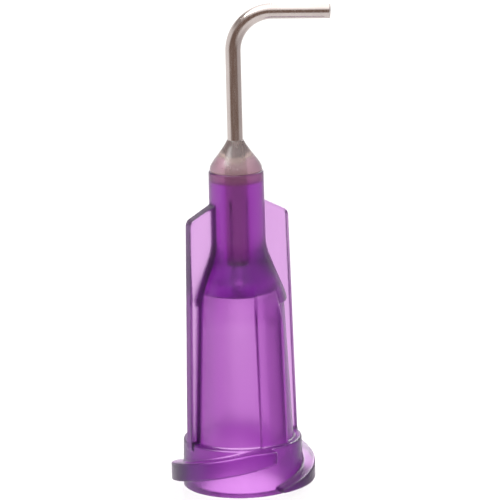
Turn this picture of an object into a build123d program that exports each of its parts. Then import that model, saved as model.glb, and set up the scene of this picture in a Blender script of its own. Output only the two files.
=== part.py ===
from build123d import *
import os

# A bent blunt dispensing tip: a moulded luer-lock hub, a steel cannula and its adhesive.
# Millimetres. The origin is the centre of the hub's mouth, +Z runs up the hub's axis,
# and +X is the way the cannula's arm points. Angles turn about +Z, from +X.

# Hub: outer body, from the mouth up
COLLAR_R = 3.24
COLLAR_TOP_R = 3.17
COLLAR_HEIGHT = 2.58
BARREL_R = 2.74
BARREL_TOP_R = 2.35
BARREL_TOP = 10.80
CONE_TOP_R = 1.49
CONE_TOP = 12.92
NOSE_R = 1.46
NOSE_TOP = 17.15
EDGE_ROUND = 0.08

# Hub: luer socket with a 6 % taper on its diameter, narrower chamber above it, shallow
# funnel, feed hole, cannula hole and adhesive well
LUER_MOUTH_R = 2.15
LUER_TAPER = 0.06
LUER_DEPTH = 8.92
MOUTH_CHAMFER = 0.05
CHAMBER_R = 1.76
CHAMBER_FLOOR = 9.30
CHAMBER_TOP_R = 1.70
CHAMBER_TOP = 10.55
FUNNEL_TOP = 10.85
FEED_R = 0.28
CANNULA_SEAT = 11.93
WELL_R = 1.05
WELL_DEPTH = 0.60

# Hub: two grip wings, two broad flat ribs square to them but off their centre line, and a
# ledge under the cone from each rib round to a wing
WING_ANGLE = 33.0
WING_THICKNESS = 0.66
WING_BOTTOM_R = 3.22
WING_TOP_R = 2.94
WING_TOP = 14.69
WING_ROOT_TOP = 15.47
WING_CORNER_R = 0.20
RIB_WIDTH = 1.57
RIB_OFFSET = 0.465
RIB_ROOT_R = 1.60
RIB_BOTTOM_R = 2.86
RIB_TOP_R = 2.60
LEDGE_R = 2.58
LEDGE_HEIGHT = 10.08
LEDGE_SWEEP = 62.0

# Hub: two luer-lock lugs, a right-hand double-start thread
LUG_R = 3.87
LUG_INNER_R = 2.95
LUG_LEAD = 5.0
LUG_THICKNESS = 1.00
LUG_UNDERSIDE = 0.20
LUG_ORIGIN_ANGLE = -10.0
LUG_START_ANGLE = -51.5
LUG_SWEEP = 176.0

# Cannula: 21 gauge tube
CANNULA_R = 0.41
CANNULA_BORE_R = 0.255
BEND_R = 2.13
ARM_HEIGHT = 25.65
ARM_REACH = 5.16

# Adhesive: a plug in the well and a cone up the cannula
ADHESIVE_TOP = 18.80
ADHESIVE_SKIRT = (1.36, 17.38)
ADHESIVE_SHOULDER = (1.22, 17.64)
ADHESIVE_WAIST = (0.72, 18.32)

TURN = 360.0
OVERLAP = 0.30


def outline(points):
    """A face in the XZ plane from (radius, height) points."""
    return make_face(Polyline(*[(r, 0, z) for r, z in points], close=True))


def cone_height(radius):
    """The height at which the hub's cone, carried on past its lower end, has this radius."""
    slope = (BARREL_TOP_R - CONE_TOP_R) / (CONE_TOP - BARREL_TOP)
    return CONE_TOP - (radius - CONE_TOP_R) / slope


def hub_body():
    """The collar, barrel, cone and nose as one turned shape."""
    return revolve(outline([
        (0, 0),
        (COLLAR_R - EDGE_ROUND, 0),
        (COLLAR_R, EDGE_ROUND),
        (COLLAR_TOP_R, COLLAR_HEIGHT - EDGE_ROUND),
        (COLLAR_TOP_R - EDGE_ROUND, COLLAR_HEIGHT),
        (BARREL_R, COLLAR_HEIGHT),
        (BARREL_TOP_R, BARREL_TOP),
        (CONE_TOP_R, CONE_TOP),
        (NOSE_R, NOSE_TOP - EDGE_ROUND),
        (NOSE_R - EDGE_ROUND, NOSE_TOP),
        (0, NOSE_TOP),
    ]), Axis.Z)


def hub_hollow():
    """The luer socket, the chamber and funnel above it, the cannula's hole and its well."""
    luer_top_r = LUER_MOUTH_R - LUER_TAPER / 2 * LUER_DEPTH
    return revolve(outline([
        (0, 0),
        (LUER_MOUTH_R + MOUTH_CHAMFER, 0),
        (LUER_MOUTH_R, MOUTH_CHAMFER),
        (luer_top_r, LUER_DEPTH),
        (CHAMBER_R, CHAMBER_FLOOR),
        (CHAMBER_TOP_R, CHAMBER_TOP),
        (FEED_R, FUNNEL_TOP),
        (FEED_R, CANNULA_SEAT),
        (CANNULA_R, CANNULA_SEAT),
        (CANNULA_R, NOSE_TOP - WELL_DEPTH),
        (WELL_R, NOSE_TOP - WELL_DEPTH),
        (WELL_R, NOSE_TOP),
        (0, NOSE_TOP),
    ]), Axis.Z)


def fin(shape, thickness, angle, offset=0.0):
    """A flat plate with rounded edges from a face in the XZ plane, moved aside and turned."""
    plate = extrude(shape, thickness / 2, dir=(0, 1, 0), both=True)
    rims = plate.faces().filter_by(Axis.Y).edges()
    return Rot(0, 0, angle) * Pos(0, offset, 0) * fillet(rims, EDGE_ROUND)


def wing(angle):
    """A grip wing, whose outer edge leans in as it rises and whose top slants up to the nose."""
    root_r = CANNULA_R + OVERLAP
    shape = outline([
        (LUER_MOUTH_R + OVERLAP, COLLAR_HEIGHT - OVERLAP),
        (WING_BOTTOM_R - OVERLAP, COLLAR_HEIGHT - OVERLAP),
        (WING_BOTTOM_R, COLLAR_HEIGHT),
        (WING_TOP_R, WING_TOP),
        (NOSE_R, WING_ROOT_TOP),
        (root_r, WING_ROOT_TOP),
        (root_r, CONE_TOP),
        (LUER_MOUTH_R, LUER_DEPTH),
    ])
    corner = shape.vertices().sort_by_distance((WING_TOP_R, 0, WING_TOP))[0]
    return fin(fillet(corner, WING_CORNER_R), WING_THICKNESS, angle)


def rib(angle):
    """A broad flat rib up the barrel, which ends where it runs into the cone."""
    foot = COLLAR_HEIGHT - OVERLAP
    plate = fin(outline([
        (RIB_ROOT_R, foot),
        (RIB_BOTTOM_R, foot),
        (RIB_TOP_R, BARREL_TOP),
        (RIB_ROOT_R, BARREL_TOP),
    ]), RIB_WIDTH, angle, RIB_OFFSET)
    under_cone = revolve(outline([
        (0, foot),
        (COLLAR_R, foot),
        (COLLAR_R, cone_height(COLLAR_R)),
        (BARREL_TOP_R, BARREL_TOP),
        (0, BARREL_TOP),
    ]), Axis.Z)
    return plate & under_cone


def ledge(angle):
    """A short arc of the cone carried down past the barrel's top, up to this angle."""
    inner_r = LUER_MOUTH_R
    web = outline([
        (inner_r, LEDGE_HEIGHT),
        (LEDGE_R, LEDGE_HEIGHT),
        (LEDGE_R, cone_height(LEDGE_R)),
        (inner_r, cone_height(inner_r)),
    ])
    return Rot(0, 0, angle - LEDGE_SWEEP) * revolve(web, Axis.Z, revolution_arc=LEDGE_SWEEP)


def ring_sector(inner_r, outer_r, start, sweep):
    """A flat ring sector in the XY plane."""
    outer = CenterArc((0, 0), outer_r, start, sweep)
    inner = CenterArc((0, 0), inner_r, start, sweep)
    ends = [Line(outer @ t, inner @ t) for t in (0, 1)]
    return make_face([outer, inner, *ends])


def lug(angle):
    """One lock lug, a helical band cut to its length of turn.

    A sector that turns once for each lead that it rises sweeps a band, as thick as the
    share of the lead that the sector is of a turn.
    """
    width = TURN * LUG_THICKNESS / LUG_LEAD
    first = LUG_ORIGIN_ANGLE - width + TURN * LUG_UNDERSIDE / LUG_LEAD
    rise = COLLAR_HEIGHT - LUG_UNDERSIDE
    band = Solid.extrude_linear_with_rotation(
        ring_sector(LUG_INNER_R, LUG_R, first, width).face(),
        center=(0, 0, 0),
        normal=(0, 0, rise),
        angle=TURN * rise / LUG_LEAD,
    )
    cutter = extrude(ring_sector(LUG_INNER_R / 2, LUG_R * 2, LUG_START_ANGLE, LUG_SWEEP), rise)
    return Rot(0, 0, angle) * Pos(0, 0, LUG_UNDERSIDE) * (cutter & band)


def make_hub():
    """The one-piece moulding."""
    hub = hub_body()
    for half_turn in (0, TURN / 2):
        hub += wing(WING_ANGLE + half_turn)
        hub += rib(WING_ANGLE + TURN / 4 + half_turn)
        hub += ledge(WING_ANGLE + half_turn)
        hub += lug(half_turn)
    return hub - hub_hollow()


def tube_end(plane):
    """The cannula's cross-section on this plane."""
    return plane * (Circle(CANNULA_R) - Circle(CANNULA_BORE_R))


def make_cannula():
    """A straight tube up from its seat, one round bend, and the arm along +X."""
    bend_start = ARM_HEIGHT - BEND_R
    foot = Plane.XY.offset(CANNULA_SEAT)
    below_bend = Plane.XY.offset(bend_start)
    arm_root = Plane((BEND_R, 0, ARM_HEIGHT), x_dir=(0, 1, 0), z_dir=(1, 0, 0))
    stem = extrude(tube_end(foot), bend_start - CANNULA_SEAT)
    bend = revolve(tube_end(below_bend), Axis((BEND_R, 0, bend_start), (0, 1, 0)), revolution_arc=TURN / 4)
    arm = extrude(tube_end(arm_root), ARM_REACH - BEND_R)
    return stem + bend + arm


def make_adhesive():
    """The plug that fills the well, and the cone that it forms from the rim up the cannula."""
    return revolve(outline([
        (CANNULA_R, NOSE_TOP - WELL_DEPTH),
        (WELL_R, NOSE_TOP - WELL_DEPTH),
        (WELL_R, NOSE_TOP),
        (ADHESIVE_SKIRT[0], NOSE_TOP),
        ADHESIVE_SKIRT,
        ADHESIVE_SHOULDER,
        ADHESIVE_WAIST,
        (CANNULA_R, ADHESIVE_TOP),
    ]), Axis.Z)


os.makedirs("parts", exist_ok=True)
export_step(make_hub(), "parts/hub.step")
export_step(make_cannula(), "parts/cannula.step")
export_step(make_adhesive(), "parts/adhesive.step")
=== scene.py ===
import math

import bpy
import numpy as np
from mathutils import Matrix, Vector


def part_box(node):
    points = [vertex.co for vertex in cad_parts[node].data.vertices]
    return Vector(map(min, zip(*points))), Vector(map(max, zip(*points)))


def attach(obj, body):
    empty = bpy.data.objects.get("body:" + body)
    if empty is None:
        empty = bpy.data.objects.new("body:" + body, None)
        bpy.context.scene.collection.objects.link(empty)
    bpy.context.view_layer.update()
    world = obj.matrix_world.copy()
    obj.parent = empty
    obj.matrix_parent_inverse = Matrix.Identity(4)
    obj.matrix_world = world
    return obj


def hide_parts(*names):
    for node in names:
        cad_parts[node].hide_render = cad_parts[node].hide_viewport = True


# A bent blunt dispensing tip on a white sheet: a translucent purple luer-lock hub, a steel
# cannula and the clear adhesive that holds it. Shapes are in millimetres until a mesh is made.

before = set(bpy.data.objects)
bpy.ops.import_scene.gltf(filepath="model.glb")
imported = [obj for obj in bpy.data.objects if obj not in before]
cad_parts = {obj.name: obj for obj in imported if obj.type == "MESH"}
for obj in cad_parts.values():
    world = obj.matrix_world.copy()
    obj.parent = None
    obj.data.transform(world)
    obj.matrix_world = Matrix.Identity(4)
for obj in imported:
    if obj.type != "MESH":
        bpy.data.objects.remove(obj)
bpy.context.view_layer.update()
hub_low, hub_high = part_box("hub")
cannula_low, cannula_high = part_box("cannula")
adhesive_low, adhesive_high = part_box("adhesive")

MM = 0.001

# ---------------------------------------------------------------- sizes, in millimetres

COLLAR_R = 3.24
COLLAR_TOP_R = 3.17
COLLAR_HEIGHT = 2.58
BARREL_R = 2.74
BARREL_TOP_R = 2.35
BARREL_TOP = 10.80
CONE_TOP_R = 1.49
CONE_TOP = 12.92
NOSE_R = 1.46
NOSE_TOP = hub_high.z / MM

LUER_MOUTH_R = 2.15
LUER_TOP_R = 1.882
LUER_DEPTH = 8.92
MOUTH_CHAMFER = 0.05
CHAMBER_R = 1.76
CHAMBER_FLOOR = 9.30
CHAMBER_TOP_R = 1.70
CHAMBER_TOP = 10.55
FUNNEL_TOP = 10.85
FEED_R = 0.28
CANNULA_SEAT = cannula_low.z / MM
WELL_R = 1.05
WELL_FLOOR = adhesive_low.z / MM

WING_ANGLE = math.radians(33.0)
WING_THICKNESS = 0.66
WING_FOOT = 2.28
WING_BOTTOM_R = 3.22
WING_TOP_R = 2.94
WING_TOP = 14.69
WING_ROOT_TOP = 15.47
RIB_WIDTH = 1.57
RIB_OFFSET = 0.465
RIB_BOTTOM_R = 2.86
RIB_TOP_R = 2.60
LEDGE_R = 2.58
LEDGE_HEIGHT = 10.08
LEDGE_SWEEP = math.radians(62.0)

LUG_R = 3.87
LUG_LEAD = 5.0
LUG_THICKNESS = 1.00
LUG_UNDERSIDE = 0.20
LUG_ORIGIN_ANGLE = math.radians(-10.0)
LUG_MIDDLE_ANGLE = math.radians(36.5)
LUG_HALF_SWEEP = math.radians(88.0)

CANNULA_R = (cannula_high.y - cannula_low.y) / 2 / MM
CANNULA_BORE_R = 0.255
CANNULA_HOLE_R = CANNULA_R - 0.02
LIP_ROUND = 0.035
BEND_R = 2.13
ARM_HEIGHT = cannula_high.z / MM - CANNULA_R
ARM_REACH = cannula_high.x / MM

ADHESIVE_TOP = adhesive_high.z / MM
ADHESIVE_OVERLAP = 0.01

# How far each kind of edge is rounded, then the mesh's step, its box's margin and the short
# distance over which a field's slope is measured
SHARP = 0.07
ROUNDED = 0.12
SOFT = 0.22
NET_STEP = 0.084
NET_MARGIN = 0.25
PROBE = 0.004

STEM_STEPS = 24
BEND_STEPS = 48
ARM_STEPS = 8
LIP_STEPS = 3
TUBE_SEGMENTS = 64
ADHESIVE_SEGMENTS = 128


# ---------------------------------------------------------------- the hub as a solid field


def both(a, b, blend):
    """Where two fields are both negative, with the edge between them rounded."""
    near = np.maximum(blend - np.abs(a - b), 0.0)
    return np.maximum(a, b) + near * near / (4 * blend)


def either(a, b, blend):
    """Where either of two fields is negative, with a fillet between them."""
    return -both(-a, -b, blend)


def within(fields, blend):
    """Where all of these fields are negative."""
    result = fields[0]
    for field in fields[1:]:
        result = both(result, field, blend)
    return result


def side(r, z, start, end):
    """Distance to the right of the line from start to end, each a (radius, height)."""
    run, rise = end[0] - start[0], end[1] - start[1]
    return ((r - start[0]) * rise - (z - start[1]) * run) / math.hypot(run, rise)


def lug_field(x, y, r, z):
    """Both lock lugs: helical bands, each cut to its own length of turn."""
    turn = np.arctan2(y, x) - LUG_MIDDLE_ANGLE
    turn = (turn + math.pi / 2) % math.pi - math.pi / 2
    underside = (turn + LUG_MIDDLE_ANGLE - LUG_ORIGIN_ANGLE) * LUG_LEAD / math.tau
    level = math.cos(math.atan(LUG_LEAD / (math.tau * LUG_R)))
    ends = (np.abs(turn) - LUG_HALF_SWEEP) * r
    return within([
        r - LUG_R,
        (z - underside - LUG_THICKNESS) * level,
        (underside - z) * level,
        LUG_UNDERSIDE - z,
        ends,
    ], ROUNDED)


def hub_solid(x, y, z):
    """The moulding before it is hollowed."""
    r = np.hypot(x, y)
    along = x * math.cos(WING_ANGLE) + y * math.sin(WING_ANGLE)
    across = y * math.cos(WING_ANGLE) - x * math.sin(WING_ANGLE)
    cone = side(r, z, (BARREL_TOP_R, BARREL_TOP), (CONE_TOP_R, CONE_TOP))

    rib_side = np.abs(along * np.sign(across) + RIB_OFFSET) - RIB_WIDTH / 2
    rib_face = side(np.abs(across), z, (RIB_BOTTOM_R, WING_FOOT), (RIB_TOP_R, BARREL_TOP))
    ribs = within([rib_side, rib_face, WING_FOOT - z], SHARP)
    lateral = -across * np.sign(along)
    ledge_end = lateral * math.cos(LEDGE_SWEEP) - np.abs(along) * math.sin(LEDGE_SWEEP)
    ledges = within([r - LEDGE_R, LEDGE_HEIGHT - z, ledge_end, -lateral], SHARP)
    trunk = side(r, z, (BARREL_R, COLLAR_HEIGHT), (BARREL_TOP_R, BARREL_TOP))
    trunk = either(either(trunk, ribs, SHARP), ledges, ROUNDED)
    trunk = both(trunk, cone, SOFT)

    nose = both(side(r, z, (CONE_TOP_R, CONE_TOP), (NOSE_R, NOSE_TOP)), z - NOSE_TOP, ROUNDED)
    wing_edge = side(np.abs(along), z, (WING_BOTTOM_R, COLLAR_HEIGHT), (WING_TOP_R, WING_TOP))
    wing_top = side(np.abs(along), z, (WING_TOP_R, WING_TOP), (NOSE_R, WING_ROOT_TOP))
    plate = both(wing_edge, wing_top, SOFT)
    wings = within([np.abs(across) - WING_THICKNESS / 2, plate, WING_FOOT - z], ROUNDED)

    collar = side(r, z, (COLLAR_R, 0.0), (COLLAR_TOP_R, COLLAR_HEIGHT))
    base = both(either(collar, lug_field(x, y, r, z), ROUNDED), z - COLLAR_HEIGHT, ROUNDED)
    whole = either(trunk, nose, SOFT)
    whole = either(whole, wings, ROUNDED)
    whole = either(whole, base, ROUNDED)
    return both(whole, -z, MOUTH_CHAMFER)


def hub_hollow(x, y, z):
    """The luer socket, the chamber and funnel above it, the cannula's hole and its well."""
    r = np.hypot(x, y)
    taper = side(r, z, (LUER_MOUTH_R, 0.0), (LUER_TOP_R, LUER_DEPTH))
    step = side(r, z, (LUER_TOP_R, LUER_DEPTH), (CHAMBER_R, CHAMBER_FLOOR))
    mouth = side(r, z, (LUER_MOUTH_R + MOUTH_CHAMFER, 0.0), (LUER_MOUTH_R, MOUTH_CHAMFER))
    wall = side(r, z, (CHAMBER_R, CHAMBER_FLOOR), (CHAMBER_TOP_R, CHAMBER_TOP))
    funnel = side(r, z, (CHAMBER_TOP_R, CHAMBER_TOP), (FEED_R, FUNNEL_TOP))
    socket = either(within([taper, step, z - CHAMBER_FLOOR], SHARP), mouth, SHARP)
    chamber = within([wall, funnel, LUER_DEPTH - z], SHARP)
    feed = np.maximum(r - FEED_R, CHAMBER_TOP - z)
    hole = np.maximum(r - CANNULA_HOLE_R, CANNULA_SEAT - SHARP - z)
    well = both(r - WELL_R, WELL_FLOOR - z, ROUNDED)
    hollow = either(socket, chamber, SHARP)
    return np.minimum(np.minimum(hollow, feed), np.minimum(hole, well))


def hub_field(x, y, z):
    """The finished moulding."""
    return both(hub_solid(x, y, z), -hub_hollow(x, y, z), SHARP)


# ---------------------------------------------------------------- meshes from fields


def gradient(field, points):
    """The field's slope at each point."""
    x, y, z = points.T
    return np.stack([
        field(x + PROBE, y, z) - field(x - PROBE, y, z),
        field(x, y + PROBE, z) - field(x, y - PROBE, z),
        field(x, y, z + PROBE) - field(x, y, z - PROBE),
    ], 1) / (2 * PROBE)


def settle(field, points, rounds):
    """Moves each point onto the field's zero surface."""
    for _ in range(rounds):
        slope = gradient(field, points)
        steepness = np.maximum((slope * slope).sum(1), 0.04)
        move = field(*points.T) / steepness
        points = points - np.clip(move, -NET_STEP / 2, NET_STEP / 2)[:, None] * slope
    return points


def neighbours_mean(points, quads):
    """Each point's average over the far ends of its edges."""
    total = np.zeros_like(points)
    count = np.zeros(len(points))
    for corner in range(4):
        here, after = quads[:, corner], quads[:, (corner + 1) % 4]
        for one, other in ((here, after), (after, here)):
            count += np.bincount(one, minlength=len(points))
            for axis in range(3):
                total[:, axis] += np.bincount(one, points[other, axis], len(points))
    return total / count[:, None]


def field_mesh(field, low, high):
    """The field's zero surface between two corners, as points, quads and outward normals."""
    grid_axes = [np.arange(low[i], high[i] + NET_STEP, NET_STEP) for i in range(3)]
    values = field(*np.meshgrid(*grid_axes, indexing="ij", sparse=True))
    cells = np.array(values.shape) - 1
    total = np.zeros((cells.prod(), 3))
    count = np.zeros(cells.prod())
    quads = []
    for axis in range(3):
        first = np.take(values, np.arange(cells[axis]), axis)
        second = np.take(values, np.arange(1, cells[axis] + 1), axis)
        crossing = np.argwhere((first < 0) != (second < 0))
        before, after = first[tuple(crossing.T)], second[tuple(crossing.T)]
        place = crossing.astype(float)
        place[:, axis] += before / (before - after)
        around = []
        for shift in ((0, 0), (-1, 0), (-1, -1), (0, -1)):
            cell = crossing.copy()
            cell[:, (axis + 1) % 3] += shift[0]
            cell[:, (axis + 2) % 3] += shift[1]
            index = np.ravel_multi_index(cell.T, cells)
            around.append(index)
            count += np.bincount(index, minlength=len(count))
            for i in range(3):
                total[:, i] += np.bincount(index, place[:, i], len(count))
        quad = np.stack(around, 1)
        quads.append(np.where((before < 0)[:, None], quad, quad[:, ::-1]))
    quads = np.concatenate(quads)
    used, flat = np.unique(quads, return_inverse=True)
    quads = flat.reshape(-1, 4)
    points = total[used] / count[used, None] * NET_STEP + np.array(low)
    for _ in range(2):
        points = settle(field, points, 2)
        points = settle(field, (points + neighbours_mean(points, quads)) / 2, 2)
    slope = gradient(field, points)
    normals = slope / np.linalg.norm(slope, axis=1)[:, None]
    return points, quads, normals


def new_piece(name, points, faces, node, material, normals=None):
    """A mesh piece that stands for a CAD node, from points in millimetres."""
    mesh = bpy.data.meshes.new(name)
    mesh.from_pydata((np.asarray(points) * MM).tolist(), [], [tuple(f) for f in faces])
    mesh.shade_smooth()
    if normals is not None:
        mesh.normals_split_custom_set_from_vertices(normals.tolist())
    mesh.materials.append(material)
    piece = bpy.data.objects.new(name, mesh)
    bpy.context.scene.collection.objects.link(piece)
    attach(piece, "root")
    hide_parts(node)


def sweep(circles, segments):
    """Points and quads through circles and back to the first.

    Each circle is (centre, direction, radius), and every direction is in the XZ plane.
    """
    points = []
    faces = []
    sideways = Vector((0, 1, 0))
    for number, (centre, direction, radius) in enumerate(circles):
        spoke = sideways.cross(direction)
        here = number * segments
        there = (number + 1) % len(circles) * segments
        for i in range(segments):
            angle = math.tau * i / segments
            j = (i + 1) % segments
            points.append(centre + (spoke * math.cos(angle) + sideways * math.sin(angle)) * radius)
            faces.append((here + i, here + j, there + j, there + i))
    return points, faces


# ---------------------------------------------------------------- node materials

# Each pair holds a material's least and greatest value over its surface.
PLASTIC_IOR = 1.47
HUB_COLOURS = ((0.93, 0.86, 0.95), (0.99, 0.95, 1.00))
HUB_ROUGHNESS = (0.28, 0.36)
HUB_ABSORPTION = (0.45, 1.22, 0.35)
STEEL_COLOURS = ((0.56, 0.49, 0.47), (0.63, 0.56, 0.54))
STEEL_ROUGHNESS = (0.16, 0.30)
ADHESIVE_COLOURS = ((0.64, 0.53, 0.50), (0.72, 0.61, 0.58))
ADHESIVE_ROUGHNESS = (0.20, 0.28)
ADHESIVE_CLARITY = 0.84
ADHESIVE_ABSORPTION = (0.10, 0.15, 0.17)
CONTACT_R = 1.35
CONTACT_MARGIN = 0.05
NOISE_RANGE = (0.3, 0.7)


def node_material(name):
    """A new material, its node tree and its shader."""
    material = bpy.data.materials.new(name)
    material.use_nodes = True
    tree = material.node_tree
    shader = tree.nodes["Principled BSDF"]
    return material, tree, shader


def coordinates(tree, scale):
    """The object's own coordinates, stretched by a scale for each axis."""
    source = tree.nodes.new("ShaderNodeTexCoord")
    mapping = tree.nodes.new("ShaderNodeMapping")
    mapping.inputs["Scale"].default_value = scale
    tree.links.new(source.outputs["Object"], mapping.inputs["Vector"])
    return mapping.outputs["Vector"]


def noise(tree, scale, detail):
    """Fractal noise with this many features per metre along each axis."""
    texture = tree.nodes.new("ShaderNodeTexNoise")
    texture.inputs["Scale"].default_value = 1.0
    texture.inputs["Detail"].default_value = detail
    tree.links.new(coordinates(tree, scale), texture.inputs["Vector"])
    return texture.outputs["Fac"]


def ramp(tree, factor, stops):
    """A colour ramp; stops are (position, colour)."""
    node = tree.nodes.new("ShaderNodeValToRGB")
    elements = node.color_ramp.elements
    while len(elements) < len(stops):
        elements.new(0.5)
    for element, (position, colour) in zip(elements, stops):
        element.position = position
        element.color = (*colour, 1.0)
    tree.links.new(factor, node.inputs["Fac"])
    return node.outputs["Color"]


def remap(tree, value, start, end, interpolation="LINEAR"):
    """A value carried from one (low, high) range to another."""
    node = tree.nodes.new("ShaderNodeMapRange")
    node.interpolation_type = interpolation
    for name, number in zip(("From Min", "From Max", "To Min", "To Max"), (*start, *end)):
        node.inputs[name].default_value = number
    tree.links.new(value, node.inputs["Value"])
    return node.outputs["Result"]


def calculate(tree, operation, first, second):
    """A maths node: a number is set on its socket, and anything else is linked."""
    node = tree.nodes.new("ShaderNodeMath")
    node.operation = operation
    for socket, value in zip(node.inputs, (first, second)):
        if isinstance(value, float):
            socket.default_value = value
        else:
            tree.links.new(value, socket)
    return node.outputs["Value"]


def bump(tree, height, strength, distance):
    """A normal that leans with a height; the distance is in metres."""
    node = tree.nodes.new("ShaderNodeBump")
    node.inputs["Strength"].default_value = strength
    node.inputs["Distance"].default_value = distance
    tree.links.new(height, node.inputs["Height"])
    return node.outputs["Normal"]


def surface(tree, shader, texture, colours, roughness_texture, roughness):
    """Varies the base colour with one noise and the roughness with another."""
    stops = list(zip(NOISE_RANGE, colours))
    tree.links.new(ramp(tree, texture, stops), shader.inputs["Base Color"])
    rough = remap(tree, roughness_texture, NOISE_RANGE, roughness)
    tree.links.new(rough, shader.inputs["Roughness"])


def refract(tree, shader, top):
    """The plastic's index of refraction, but none where adhesive and hub touch.

    They touch from just under the well's floor up to this height, both in millimetres.
    """
    source = tree.nodes.new("ShaderNodeTexCoord")
    apart = tree.nodes.new("ShaderNodeSeparateXYZ")
    tree.links.new(source.outputs["Object"], apart.inputs["Vector"])
    x, y, z = (apart.outputs[axis] for axis in "XYZ")
    x_squared = calculate(tree, "MULTIPLY", x, x)
    y_squared = calculate(tree, "MULTIPLY", y, y)
    squares = calculate(tree, "ADD", x_squared, y_squared)
    inside = calculate(tree, "LESS_THAN", squares, (CONTACT_R * MM) ** 2)
    above = calculate(tree, "GREATER_THAN", z, (WELL_FLOOR - CONTACT_MARGIN) * MM)
    below = calculate(tree, "LESS_THAN", z, top * MM)
    touching = calculate(tree, "MULTIPLY", inside, calculate(tree, "MULTIPLY", above, below))
    drop = calculate(tree, "MULTIPLY", touching, PLASTIC_IOR - 1.0)
    ior = calculate(tree, "SUBTRACT", PLASTIC_IOR, drop)
    tree.links.new(ior, shader.inputs["IOR"])


def absorb(tree, per_mm):
    """Even absorption through the solid, given for each colour per millimetre."""
    density = max(per_mm)
    volume = tree.nodes.new("ShaderNodeVolumeAbsorption")
    volume.inputs["Color"].default_value = (*[1 - a / density for a in per_mm], 1.0)
    volume.inputs["Density"].default_value = density / MM
    tree.links.new(volume.outputs["Volume"], tree.nodes["Material Output"].inputs["Volume"])


def hub_material():
    """Purple polypropylene: clear enough to see through, with a slight haze and flow marks."""
    material, tree, shader = node_material("purple_polypropylene")
    flow = noise(tree, (900, 900, 160), 4.0)
    skin = noise(tree, (5000, 5000, 5000), 3.0)
    surface(tree, shader, flow, HUB_COLOURS, skin, HUB_ROUGHNESS)
    tree.links.new(bump(tree, skin, 0.05, 0.00002), shader.inputs["Normal"])
    refract(tree, shader, NOSE_TOP + CONTACT_MARGIN)
    shader.inputs["Transmission Weight"].default_value = 1.0
    absorb(tree, HUB_ABSORPTION)
    return material


def steel_material():
    """Drawn stainless tube: fine lines along the surface, warm grey, soft reflections."""
    material, tree, shader = node_material("drawn_steel")
    lines = noise(tree, (9000, 9000, 900), 3.0)
    tint = noise(tree, (700, 700, 700), 3.0)
    surface(tree, shader, tint, STEEL_COLOURS, lines, STEEL_ROUGHNESS)
    tree.links.new(bump(tree, lines, 0.10, 0.00002), shader.inputs["Normal"])
    shader.inputs["Metallic"].default_value = 1.0
    return material


def adhesive_material():
    """Clear cured resin, very slightly grey and hazy."""
    material, tree, shader = node_material("cured_resin")
    cloud = noise(tree, (1100, 1100, 1100), 4.0)
    surface(tree, shader, cloud, ADHESIVE_COLOURS, cloud, ADHESIVE_ROUGHNESS)
    tree.links.new(bump(tree, cloud, 0.05, 0.00003), shader.inputs["Normal"])
    refract(tree, shader, NOSE_TOP)
    shader.inputs["Transmission Weight"].default_value = ADHESIVE_CLARITY
    absorb(tree, ADHESIVE_ABSORPTION)
    return material


# ---------------------------------------------------------------- pieces


def make_hub():
    """The moulding, meshed from its field in a box a little larger than the hub."""
    reach = LUG_R + NET_MARGIN
    low = (-reach, -reach, -NET_MARGIN)
    high = (reach, reach, NOSE_TOP + NET_MARGIN)
    points, quads, normals = field_mesh(hub_field, low, high)
    new_piece("hub_moulding", points, quads, "hub", hub_material(), normals)


def tube_profile():
    """(radius, offset along the tube) round the wall at an end, from the bore to the outside."""
    corners = [(CANNULA_BORE_R + LIP_ROUND, math.pi), (CANNULA_R - LIP_ROUND, math.pi / 2)]
    profile = []
    for centre, start in corners:
        for step in range(LIP_STEPS + 1):
            angle = start - step / LIP_STEPS * math.pi / 2
            offset = LIP_ROUND * (math.sin(angle) - 1)
            profile.append((centre + LIP_ROUND * math.cos(angle), offset))
    return profile


def cannula_path():
    """(place, direction) along the tube's centre line, from its foot to the arm's end."""
    bend_start = ARM_HEIGHT - BEND_R
    path = []
    for z in np.linspace(CANNULA_SEAT, bend_start, STEM_STEPS + 1):
        path.append((Vector((0, 0, z)), Vector((0, 0, 1))))
    for step in range(1, BEND_STEPS + 1):
        angle = step / BEND_STEPS * math.pi / 2
        place = (BEND_R * (1 - math.cos(angle)), 0, bend_start + BEND_R * math.sin(angle))
        path.append((Vector(place), Vector((math.sin(angle), 0, math.cos(angle)))))
    for x in np.linspace(BEND_R, ARM_REACH, ARM_STEPS + 1)[1:]:
        path.append((Vector((x, 0, ARM_HEIGHT)), Vector((1, 0, 0))))
    return path


def make_cannula():
    """The tube's skin, out over its foot, up the outside, in over the tip and down the bore."""
    path = cannula_path()
    foot, up = path[0]
    tip, ahead = path[-1]
    lip = tube_profile()
    circles = [(foot - up * offset, up, radius) for radius, offset in lip]
    circles += [(place, direction, CANNULA_R) for place, direction in path[1:-1]]
    circles += [(tip + ahead * offset, ahead, radius) for radius, offset in reversed(lip)]
    circles += [(place, direction, CANNULA_BORE_R) for place, direction in reversed(path[1:-1])]
    points, faces = sweep(circles, TUBE_SEGMENTS)
    new_piece("cannula_tube", points, faces, "cannula", steel_material())


def adhesive_outline():
    """(radius, height) down the adhesive's skin and round its plug."""
    skin = [
        (CANNULA_HOLE_R, ADHESIVE_TOP),
        (0.44, ADHESIVE_TOP - 0.02),
        (0.56, 18.56),
        (0.72, 18.32),
        (0.96, 17.99),
        (1.22, 17.64),
        (1.36, 17.38),
        (1.39, NOSE_TOP + 0.02),
        (1.36, NOSE_TOP - ADHESIVE_OVERLAP),
    ]
    plug = [
        (WELL_R + ADHESIVE_OVERLAP, NOSE_TOP - ADHESIVE_OVERLAP),
        (WELL_R + ADHESIVE_OVERLAP, WELL_FLOOR - ADHESIVE_OVERLAP),
        (CANNULA_HOLE_R, WELL_FLOOR - ADHESIVE_OVERLAP),
    ]
    return skin, plug


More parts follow.
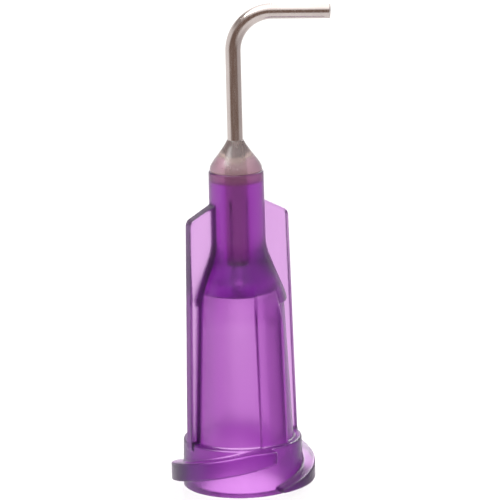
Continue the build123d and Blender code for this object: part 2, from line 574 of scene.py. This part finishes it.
def smooth_curve(points, steps):
    """A smooth curve through the points."""
    padded = np.array([points[0], *points, points[-1]])
    curve = []
    for a, b, c, d in zip(padded, padded[1:], padded[2:], padded[3:]):
        for step in range(steps):
            t = step / steps
            bend = (2 * a - 5 * b + 4 * c - d) * t * t + (3 * b - a - 3 * c + d) * t ** 3
            curve.append(b + ((c - a) * t + bend) / 2)
    curve.append(padded[-1])
    return [tuple(p) for p in curve]


def make_adhesive():
    """The plug and cone, turned about the hub's axis."""
    skin, plug = adhesive_outline()
    outline = smooth_curve(skin, 5) + plug
    up = Vector((0, 0, 1))
    circles = [(up * height, up, radius) for radius, height in reversed(outline)]
    points, faces = sweep(circles, ADHESIVE_SEGMENTS)
    new_piece("adhesive_cone", points, faces, "adhesive", adhesive_material())

# ---------------------------------------------------------------- studio

FLOOR_SIZE = 0.6
FLOOR_GAP = 0.00002
FLOOR_COLOURS = ((0.05, 0.05, 0.05), (0.07, 0.07, 0.07))
FLOOR_ROUGHNESS = 0.18
VIEW_DISTANCE = 0.20
VIEW_AZIMUTH = math.radians(5.4)
VIEW_ELEVATION = math.radians(13.0)
VIEW_ROLL = math.radians(1.4)
VIEW_TARGET_HEIGHT = 0.01279
VIEW_TARGET_RIGHT = 0.00064
VIEW_WIDTH = 0.02659
SENSOR = 36.0
FLOOR_GLOW = 1.36
FLOOR_PAINTED_LIGHT_POOL_R = 0.05
# Painted light: the floor's glow, brightest in a pool just under the part and seen through the
# hub's socket, then dimmer further out
FLOOR_PAINTED_LIGHT_POOL = [
    (0.03, (0.98, 0.97, 0.97)),
    (0.07, (0.66, 0.655, 0.65)),
    (1.0, (0.54, 0.535, 0.53)),
]
TENT_WALL = (1.0, 0.99, 0.98)
TENT_RIGHT = (0.60, 0.57, 0.57)
TENT_SEAM = (0.30, 0.26, 0.24)
TENT_TOP = (1.9, 1.88, 1.86)
TENT_OPENING = (0.23, 0.16, 0.13)
OPENING_GLOW = (0.80, 0.68, 0.80)
TENT_STRENGTH = 1.04
LAMP_POWER = 0.30
LAMP_AIM = Vector((0, 0, 0.012))

# Where the tent changes, as ranges of how far a direction points up, right or to the camera
TOP_HEIGHT = (0.35, 0.95)
RIGHT_START = (0.30, 0.85)
SEAM_LEFT = (-0.70, -0.40)
SEAM_LOW = (0.25, 0.45)
SEAM_HIGH = (0.65, 0.85)
OPENING_AHEAD = (0.25, 0.65)
OPENING_LOW = (-0.45, -0.30)
OPENING_HIGH = (0.30, 0.55)


def make_floor():
    """A plain white sheet that lights itself a little, so that it stays white under the part; its
    glow is painted light, brightest in a pool just under the part.
    """
    half = FLOOR_SIZE / 2
    mesh = bpy.data.meshes.new("floor_sheet")
    corners = [(-half, -half, 0), (half, -half, 0), (half, half, 0), (-half, half, 0)]
    mesh.from_pydata(corners, [], [(0, 1, 2, 3)])
    material, tree, shader = node_material("white_sheet")
    paper = noise(tree, (300, 300, 300), 3.0)
    colour = ramp(tree, paper, list(zip(NOISE_RANGE, FLOOR_COLOURS)))
    tree.links.new(colour, shader.inputs["Base Color"])
    shader.inputs["Roughness"].default_value = FLOOR_ROUGHNESS
    away = tree.nodes.new("ShaderNodeVectorMath")
    away.operation = "LENGTH"
    # Painted pool of light: the sheet glows brighter close to the part
    tree.links.new(coordinates(tree, [1 / FLOOR_PAINTED_LIGHT_POOL_R] * 3), away.inputs[0])
    painted_light_pool = ramp(tree, away.outputs["Value"], FLOOR_PAINTED_LIGHT_POOL)
    tree.links.new(painted_light_pool, shader.inputs["Emission Color"])
    shader.inputs["Emission Strength"].default_value = FLOOR_GLOW
    mesh.materials.append(material)
    floor = bpy.data.objects.new("floor_sheet", mesh)
    floor.location = (0, 0, -FLOOR_GAP)
    floor.visible_glossy = False
    bpy.context.scene.collection.objects.link(floor)


def make_world():
    """A white tent, brighter overhead, with a dark opening on the camera's side."""
    world = bpy.data.worlds.new("tent")
    bpy.context.scene.world = world
    world.use_nodes = True
    tree = world.node_tree

    def rising(value, over):
        return remap(tree, value, over, (0.0, 1.0), "SMOOTHSTEP")

    def falling(value, over):
        return remap(tree, value, over, (1.0, 0.0), "SMOOTHSTEP")

    def times(first, second):
        return calculate(tree, "MULTIPLY", first, second)

    def blend(factor, first, second):
        node = tree.nodes.new("ShaderNodeMix")
        node.data_type = "RGBA"
        tree.links.new(factor, node.inputs["Factor"])
        for name, colour in (("A", first), ("B", second)):
            if isinstance(colour, tuple):
                node.inputs[name].default_value = (*colour, 1.0)
            else:
                tree.links.new(colour, node.inputs[name])
        return node.outputs["Result"]

    source = tree.nodes.new("ShaderNodeTexCoord")
    apart = tree.nodes.new("ShaderNodeSeparateXYZ")
    facing = tree.nodes.new("ShaderNodeVectorMath")
    facing.operation = "DOT_PRODUCT"
    facing.inputs[1].default_value = (math.sin(VIEW_AZIMUTH), -math.cos(VIEW_AZIMUTH), 0.0)
    tree.links.new(source.outputs["Generated"], apart.inputs["Vector"])
    tree.links.new(source.outputs["Generated"], facing.inputs[0])
    height = apart.outputs["Z"]
    across = apart.outputs["X"]
    opening_height = times(falling(height, OPENING_HIGH), rising(height, OPENING_LOW))
    opening = times(rising(facing.outputs["Value"], OPENING_AHEAD), opening_height)
    seam_height = times(rising(height, SEAM_LOW), falling(height, SEAM_HIGH))
    seam = times(falling(across, SEAM_LEFT), seam_height)
    wall = blend(rising(across, RIGHT_START), TENT_WALL, TENT_RIGHT)
    tent = blend(seam, blend(rising(height, TOP_HEIGHT), wall, TENT_TOP), TENT_SEAM)
    light_path = tree.nodes.new("ShaderNodeLightPath")
    dark = blend(light_path.outputs["Is Transmission Ray"], TENT_OPENING, OPENING_GLOW)
    light = blend(opening, tent, dark)
    shown = blend(light_path.outputs["Is Camera Ray"], light, (1.0, 1.0, 1.0))
    background = tree.nodes["Background"]
    tree.links.new(shown, background.inputs["Color"])
    background.inputs["Strength"].default_value = TENT_STRENGTH


def make_lamp(name, place, size, colour):
    """A soft square lamp that faces the part."""
    lamp = bpy.data.lights.new(name, "AREA")
    lamp.size = size
    lamp.energy = LAMP_POWER
    lamp.color = colour
    holder = bpy.data.objects.new(name, lamp)
    holder.location = place
    aim = LAMP_AIM - Vector(place)
    holder.rotation_euler = aim.to_track_quat("-Z", "Y").to_euler()
    holder.visible_transmission = False
    bpy.context.scene.collection.objects.link(holder)


def make_camera():
    """A long lens, turned slightly so that the part leans as it does in the view."""
    away = Vector((
        math.sin(VIEW_AZIMUTH) * math.cos(VIEW_ELEVATION),
        -math.cos(VIEW_AZIMUTH) * math.cos(VIEW_ELEVATION),
        math.sin(VIEW_ELEVATION),
    ))
    right = Vector((0, 0, 1)).cross(away).normalized()
    up = away.cross(right)
    target = Vector((0, 0, VIEW_TARGET_HEIGHT)) + right * VIEW_TARGET_RIGHT
    rolled_right = right * math.cos(VIEW_ROLL) - up * math.sin(VIEW_ROLL)
    rolled_up = up * math.cos(VIEW_ROLL) + right * math.sin(VIEW_ROLL)
    data = bpy.data.cameras.new("camera")
    data.sensor_width = SENSOR
    data.lens = SENSOR * VIEW_DISTANCE / VIEW_WIDTH
    data.clip_start = 0.01
    data.clip_end = 10.0
    camera = bpy.data.objects.new("camera", data)
    turn = Matrix((rolled_right, rolled_up, away)).transposed()
    camera.matrix_world = Matrix.Translation(target + away * VIEW_DISTANCE) @ turn.to_4x4()
    bpy.context.scene.collection.objects.link(camera)
    bpy.context.scene.camera = camera


make_hub()
make_cannula()
make_adhesive()
make_floor()
make_world()
make_lamp("key_lamp", (-0.12, -0.05, 0.22), 0.10, (1.0, 0.99, 0.97))
make_lamp("back_lamp", (0.05, 0.20, 0.16), 0.12, (1.0, 1.0, 1.0))
make_camera()

scene = bpy.context.scene
scene.view_settings.view_transform = "Standard"
scene.view_settings.look = "None"
